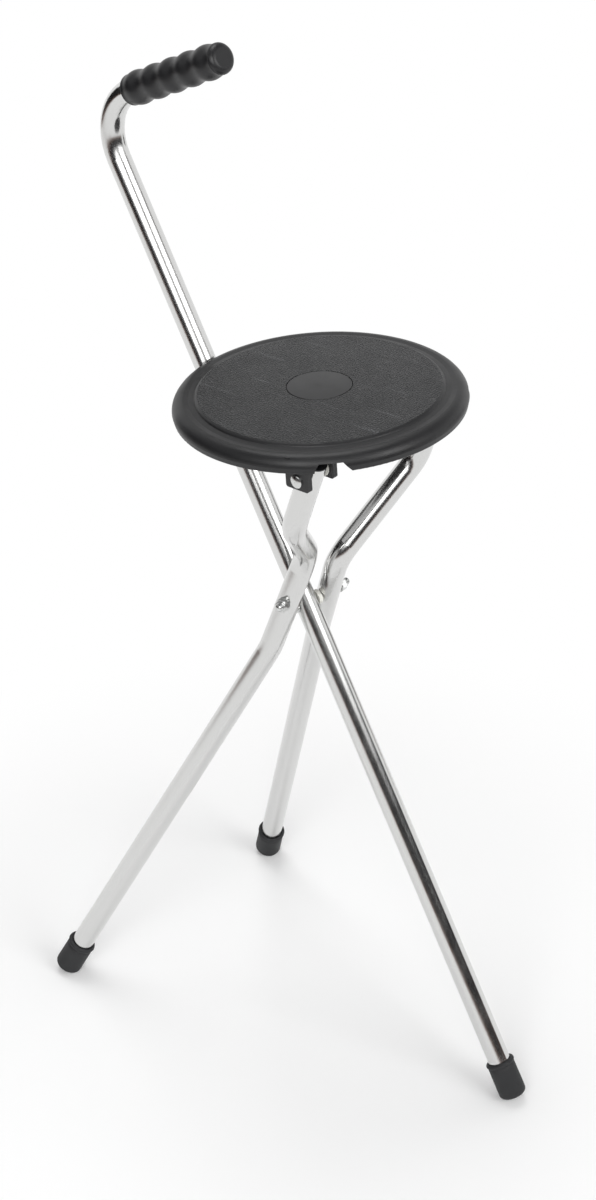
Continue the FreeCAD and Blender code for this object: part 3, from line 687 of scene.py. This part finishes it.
def softbox(name, azimuth, elevation, distance, wide, tall, watts):
    """Rectangular area lamp aimed at the middle of the stick seat."""
    lamp = bpy.data.lights.new(name, "AREA")
    lamp.shape = "RECTANGLE"
    lamp.size = wide
    lamp.size_y = tall
    lamp.energy = watts
    way = compass(azimuth, elevation)
    holder = bpy.data.objects.new(name, lamp)
    holder.location = LIT_POINT + way * distance
    holder.rotation_euler = Vector(-way).to_track_quat("-Z", "Y").to_euler()
    bpy.context.scene.collection.objects.link(holder)


def studio_room():
    """World: white where the camera looks past the floor; for light and gloss a white sweep low on
    the far side that fades into a dim room above."""
    world = bpy.data.worlds.new("studio_room")
    bpy.context.scene.world = world
    world.use_nodes = True
    tree = world.node_tree
    tree.nodes.clear()
    output = tree.nodes.new("ShaderNodeOutputWorld")
    coord = add_node(tree, "ShaderNodeTexCoord")
    split = add_node(tree, "ShaderNodeSeparateXYZ", {"Vector": coord.outputs["Generated"]})
    low = ramp(tree, split.outputs["Z"], ((0.30, 1.0), (0.62, 0.30)))
    room = add_node(tree, "ShaderNodeBackground", {"Color": (1, 1, 1, 1), "Strength": low})
    white = add_node(tree, "ShaderNodeBackground", {"Color": (1, 1, 1, 1), "Strength": 1.0})
    path = add_node(tree, "ShaderNodeLightPath")
    mix = add_node(tree, "ShaderNodeMixShader", {0: path.outputs["Is Camera Ray"],
                                                 1: room.outputs[0], 2: white.outputs[0]})
    tree.links.new(mix.outputs[0], output.inputs["Surface"])


def photo_camera():
    """Camera at the photograph's place and angle."""
    camera = bpy.data.cameras.new("photo_camera")
    camera.sensor_fit = "VERTICAL"
    camera.sensor_height = 36.0
    camera.lens = CAMERA_LENS
    camera.clip_end = 50.0
    holder = bpy.data.objects.new("photo_camera", camera)
    cos_down, sin_down = math.cos(CAMERA_DOWN), math.sin(CAMERA_DOWN)
    cos_az, sin_az = math.cos(CAMERA_AZIMUTH), math.sin(CAMERA_AZIMUTH)
    front = Vector((cos_az * cos_down, sin_az * cos_down, -sin_down))
    right = Vector((sin_az, -cos_az, 0.0))
    up = right.cross(front)
    turn = Matrix((right, up, -front)).transposed()
    holder.matrix_world = Matrix.Translation(CAMERA_PLACE) @ turn.to_4x4()
    bpy.context.scene.collection.objects.link(holder)
    bpy.context.scene.camera = holder


class STICK_PT_panel(bpy.types.Panel):
    """Panel with every step"""
    bl_idname = "STICK_PT_panel"
    bl_label = "Walking stick seat"
    bl_space_type = "VIEW_3D"
    bl_region_type = "UI"
    bl_category = "Stick seat"

    def draw(self, context):
        for operator in OPERATORS:
            self.layout.operator(operator.bl_idname)
        for group in (context.scene.stick_sizes, context.scene.stick_colours):
            for key in group.bl_rna.properties.keys():
                if key not in {"rna_type", "name"}:
                    self.layout.prop(group, key)


OPERATORS = (STICK_OT_tubes, STICK_OT_plastics, STICK_OT_hardware, STICK_OT_stage)
CLASSES = (StickSizes, StickColours) + OPERATORS + (STICK_PT_panel,)


def register():
    """Register the classes and their settings."""
    for item in CLASSES:
        bpy.utils.register_class(item)
    bpy.types.Scene.stick_sizes = bpy.props.PointerProperty(type=StickSizes)
    bpy.types.Scene.stick_colours = bpy.props.PointerProperty(type=StickColours)


def unregister():
    """Undo register()."""
    del bpy.types.Scene.stick_colours
    del bpy.types.Scene.stick_sizes
    for item in reversed(CLASSES):
        bpy.utils.unregister_class(item)


def main():
    """Dress the frame and make the fine pieces and the stage."""
    register()
    bpy.ops.stick.tubes()
    bpy.ops.stick.plastics()
    bpy.ops.stick.hardware()
    bpy.ops.stick.stage()


if __name__ == "__main__":
    main()
